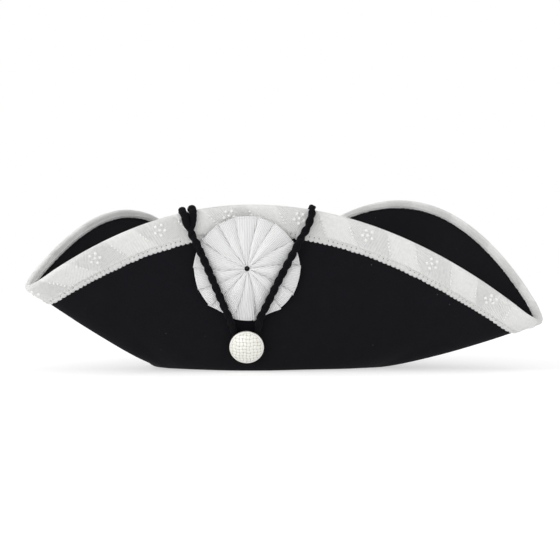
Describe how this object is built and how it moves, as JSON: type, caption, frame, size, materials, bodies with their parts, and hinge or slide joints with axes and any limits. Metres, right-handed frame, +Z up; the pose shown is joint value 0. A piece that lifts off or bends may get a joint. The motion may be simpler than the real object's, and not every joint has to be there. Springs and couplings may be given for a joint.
{
  "type": "tricorn pirate hat",
  "caption": "Black felt tricorn hat, its brim turned up on three sides and bound with white braid, with a pleated ribbon cockade, cord loop and button.",
  "frame": {"origin": "centre of the head opening, on the plane that the hat rests on", "axes": "+Z up through the crown, -Y the way the wearer faces, +X the wearer's left"},
  "size_m": [0.4162, 0.3695, 0.1387],
  "materials": {
    "black_felt": "wool felt",
    "white_braid": "satin jacquard braid",
    "white_thread": "sewing thread",
    "sweatband": "grosgrain",
    "black_thread": "sewing thread",
    "white_ribbon": "grosgrain ribbon",
    "buckram": "stiffened cloth",
    "black_cord": "twisted cord",
    "button_white": "satin, basket weave relief",
    "button_metal": "satin"
  },
  "bodies": {
    "hat": {"felt_hood": "black_felt", "edge_braid": "white_braid", "braid_thread": "white_thread", "sweatband": "sweatband", "sweatband_thread": "black_thread", "brim_tacks": "black_thread", "cockade_ribbon": "white_ribbon", "cockade_backing": "buckram", "cockade_stitch": "black_thread", "loop_cord": "black_cord", "cord_tacks": "black_thread", "thread_anchor": "black_thread"},
    "thread": {"thread_loop": "black_thread"},
    "button": {"button_shell": "button_white", "button_back": "button_metal", "button_shank": "button_metal"}
  },
  "joints": [
    {"name": "button_turn", "type": "hinge", "parent": "hat", "child": "thread", "pos_m": [0.07675, -0.08618, 0.0204], "axis": [0.737, -0.5707, -0.362], "range_deg": [-20, 20]},
    {"name": "button_rock", "type": "hinge", "parent": "thread", "child": "button", "pos_m": [0.07675, -0.08618, 0.0204], "axis": [0.6114, 0.7913, -0.0027], "range_deg": [-5, 5]}
  ]
}
